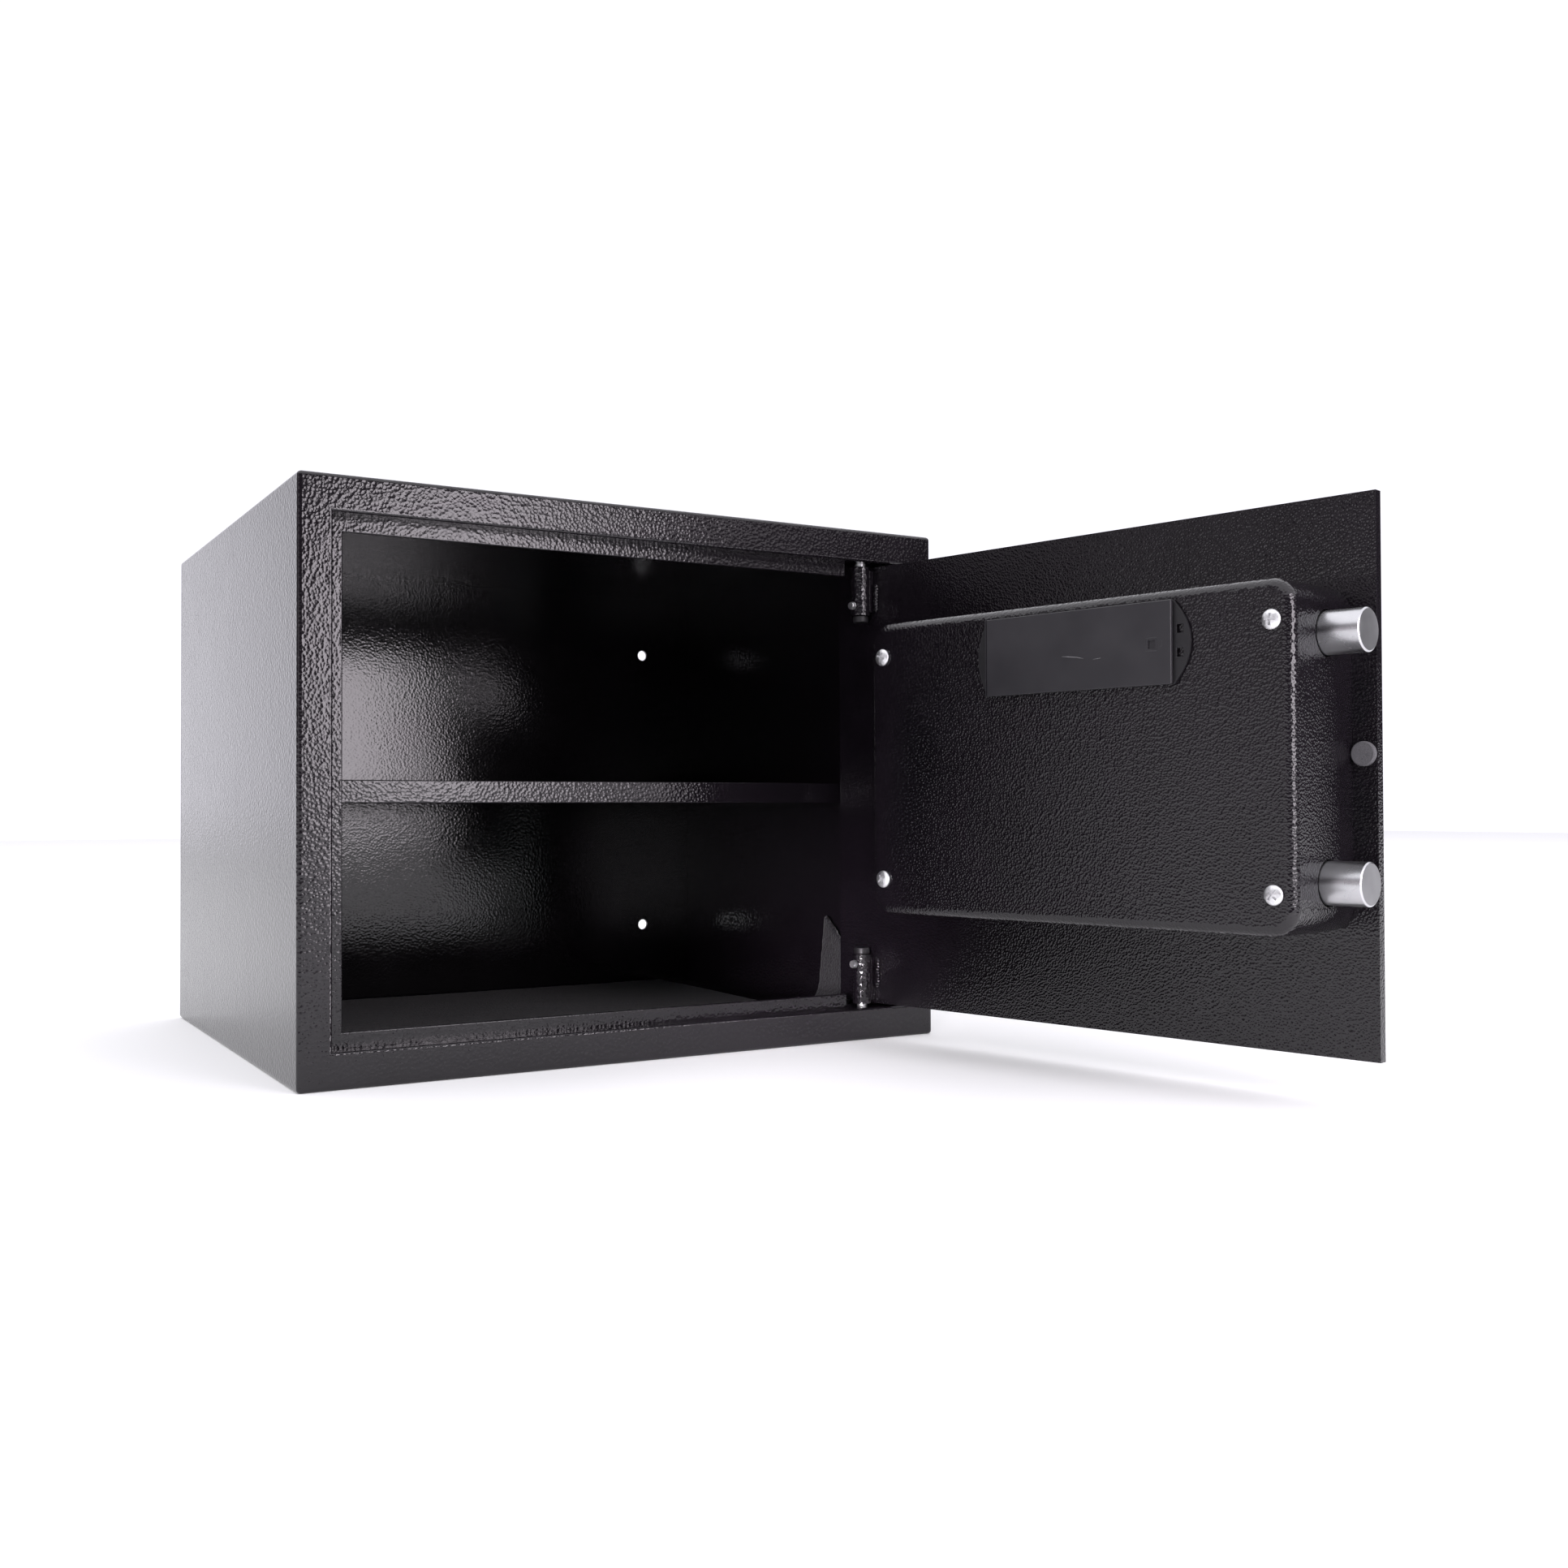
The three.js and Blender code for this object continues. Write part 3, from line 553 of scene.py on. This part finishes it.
# the raised square round the lid's mark, and two light scuffs
for name, width, points in (
    ("lid_mark", 0.32, [(-3.0, -3.2), (3.0, -3.0), (3.1, 3.0), (-2.9, 3.1), (-3.0, -3.2)]),
    ("lid_mark_side", 0.25, [(-4.6, -1.5), (-5.6, -1.0), (-5.6, 1.2), (-4.7, 1.7)]),
    ("lid_scuff_long", 0.32, [(50.5, -2.0), (46.5, -2.4), (41.5, -3.0), (38.0, -3.9)]),
    ("lid_scuff_short", 0.22, [(32.5, -4.6), (30.0, -4.5), (28.0, -4.3)]),
):
    bm = bmesh.new()
    rows = []
    for k, (dx, dz) in enumerate(points):
        ahead = Vector(points[min(k + 1, len(points) - 1)]) - Vector(points[max(k - 1, 0)])
        across = Vector((-ahead.y, ahead.x)).normalized() * width / 2
        taper = 1.0 if "mark" in name else (0.35, 1.0, 0.8, 0.3)[min(k, 3)]
        rows.append([bm.verts.new(mark + Vector((dx + s * across.x * taper, h, dz + s * across.y * taper)) * MM)
                     for s, h in ((-1, -0.01), (0, 0.07), (1, -0.01))])
    for one, two in zip(rows, rows[1:]):
        for k in range(2):
            bm.faces.new((one[k], one[k + 1], two[k + 1], two[k]))
    bmesh.ops.recalc_face_normals(bm, faces=bm.faces)
    publish(name, bm, "mark" if "scuff" in name else "lid", "battery_lid", "lid_plastic", closed=True)

# ---------------------------------------------------------------- bolts
END_RIM = 0.8 * MM  # width of the bright rim round the turned end face

for tag in ("lower", "upper"):
    low, high = closed_box(f"bolt_{tag}")
    r = (high.z - low.z) / 2
    long = high.x - low.x
    start = Vector((low.x, (low.y + high.y) / 2, (low.z + high.z) / 2))
    body = turned([(0, 0.06 * MM), (r - 0.95 * MM, 0.06 * MM), (r - END_RIM, 0), (r - 0.6 * MM, 0.05 * MM),
                   (r - 0.1 * MM, 0.5 * MM), (r, 0.7 * MM), (r, long - 0.5 * MM), (r - 0.5 * MM, long), (0, long)],
                  start, (1, 0, 0), 96)
    piece = publish(f"bolt_{tag}_skin", body, "steel", "bolts", "satin_steel", f"bolt_{tag}", closed=True, sharp=28)
    piece.data.materials.append(MATS["steel_end"])
    tip = (OPEN @ start)
    axis = (OPEN.to_3x3() @ Vector((1, 0, 0))).normalized()
    for face in piece.data.polygons:
        offset = Vector(face.center) - tip
        face.material_index = int(offset.dot(axis) < 0.1 * MM and offset.length < r - END_RIM)

for name, mat, width in (
    ("bolt_bar", "raw", 0.5), ("bolt_guide", "raw", 0.4), ("solenoid_body", "raw", 0.5),
    ("solenoid_plunger", "steel", 0.4), ("cover_bracket_left", "raw", 0.4), ("cover_bracket_right", "raw", 0.4),
    ("circuit_board", "board", 0.15), ("knob_spindle", "raw", 0.4), ("key_cylinder", "steel", 0.3),
    ("key_plug", "brass", 0.15), ("override_cap", "plastic", 0.6), ("keypad_housing", "plastic", 0.4),
):
    refine(name, mat, width * MM, 2)
refine("knob", "plastic", 0.8 * MM, 3, 40)
digits = {f"key_{d}": d for d in "0123456789"}
digits.update({"key_star": "*", "key_hash": "#"})
for name, text in digits.items():
    refine(name, "keys", 0.7 * MM, 3)
    low, high = closed_box(name)
    curve = bpy.data.curves.new("digit", "FONT")
    curve.body = text
    curve.size = 9.5 * MM
    curve.extrude = 0.12 * MM
    curve.align_x = "CENTER"
    curve.align_y = "CENTER"
    curve.resolution_u = 4
    glyph = bpy.data.objects.new("digit", curve)
    scene.collection.objects.link(glyph)
    bpy.context.view_layer.update()
    bm = bmesh.new()
    bm.from_mesh(bpy.data.meshes.new_from_object(glyph))
    bpy.data.objects.remove(glyph)
    bm.transform(Matrix.Translation(((low.x + high.x) / 2, low.y, (low.z + high.z) / 2))
                 @ Matrix.Rotation(math.radians(90), 4, "X"))
    bmesh.ops.remove_doubles(bm, verts=bm.verts, dist=1e-6)
    publish(f"{name}_print", bm, "print", BODY_OF[name], "dark_plastic", closed=True)

# ---------------------------------------------------------------- floor, lights, surroundings
FLOOR_SIZE = 7.0
FLOOR_GLOW = 0.2
SKY_WHITE = 1.1
LAMP_TINT = (1.0, 0.93, 1.0)

bm = bmesh.new()
bmesh.ops.create_grid(bm, x_segments=8, y_segments=8, size=FLOOR_SIZE)
floor_mesh = bpy.data.meshes.new("floor")
bm.to_mesh(floor_mesh)
bm.free()
floor = bpy.data.objects.new("floor", floor_mesh)
scene.collection.objects.link(floor)
floor.location.z = CAD_BOX[0].z
pale, tree, shader = principled("pale floor")
cloud = node(tree, "ShaderNodeTexNoise", Scale=3.0, Detail=2.0)
tone = ramp_between(tree, cloud.outputs["Fac"], (0.86, 0.86, 0.865), (0.9, 0.9, 0.905))
tree.links.new(tone, shader.inputs["Base Color"])
shader.inputs["Roughness"].default_value = 0.9
shader.inputs["Specular IOR Level"].default_value = 0.1
shader.inputs["Emission Color"].default_value = (1, 1, 1, 1)
shader.inputs["Emission Strength"].default_value = FLOOR_GLOW
floor_mesh.materials.append(pale)


def softbox(name, at, aim, size, power, tint=(1, 1, 1), narrow=180):
    """A rectangular lamp at one point that faces another; narrow is its spread in degrees."""
    lamp = bpy.data.lights.new(name, "AREA")
    lamp.shape = "RECTANGLE"
    lamp.size, lamp.size_y = size
    lamp.energy = power
    lamp.color = tint
    lamp.spread = math.radians(narrow)
    made = bpy.data.objects.new(name, lamp)
    scene.collection.objects.link(made)
    made.location = at
    made.rotation_euler = (Vector(aim) - Vector(at)).to_track_quat("-Z", "Y").to_euler()
    made.visible_camera = False


softbox("top light", (0.0, 0.1, 2.6), (0.0, 0.1, 0.0), (8.0, 8.0), 115)
softbox("front softbox", (0.175, -1.0, 0.305), (0.0, 0.1, 0.16), (0.28, 0.40), 3.1, LAMP_TINT)
softbox("high softbox", (0.46, -1.0, 0.53), (0.1, 0.0, 0.29), (0.46, 0.12), 0.25, LAMP_TINT)
softbox("left softbox", (-1.5, -0.48, 0.28), (0.2, -0.35, 0.15), (1.1, 0.5), 1.15, LAMP_TINT)
softbox("upper left softbox", (-1.5, 0.35, 0.72), (0.2, -0.25, 0.27), (1.3, 0.55), 0.8, LAMP_TINT)
softbox("low fill", (-0.45, -0.75, 0.12), (0.175, -0.075, 0.04), (0.12, 0.12), 0.10, LAMP_TINT, 14)

# The surroundings are bright behind the safe and overhead, and plain white where they are seen directly.
world = bpy.data.worlds.new("studio")
scene.world = world
world.use_nodes = True
tree = world.node_tree
tree.nodes.clear()
link = tree.links.new
direction = tree.nodes.new("ShaderNodeTexCoord")
axes = tree.nodes.new("ShaderNodeSeparateXYZ")
link(direction.outputs["Generated"], axes.inputs[0])
behind = ranged(tree, axes.outputs["Y"], (0.84, 1.0), (0.04, 1.55))
above = ranged(tree, axes.outputs["Z"], (0.3, 0.6), (0.0, 1.0))
above.interpolation_type = "SMOOTHSTEP"
around = math_node(tree, "MAXIMUM", behind.outputs["Result"], above.outputs["Result"])
rays = tree.nodes.new("ShaderNodeLightPath")
level = tree.nodes.new("ShaderNodeMix")
link(rays.outputs["Is Camera Ray"], level.inputs["Factor"])
link(around, level.inputs["A"])
level.inputs["B"].default_value = SKY_WHITE
glow = tree.nodes.new("ShaderNodeBackground")
glow.inputs["Color"].default_value = (1.0, 0.985, 1.06, 1)
link(level.outputs["Result"], glow.inputs["Strength"])
sky = tree.nodes.new("ShaderNodeOutputWorld")
link(glow.outputs[0], sky.inputs["Surface"])
scene.view_settings.view_transform = "Standard"
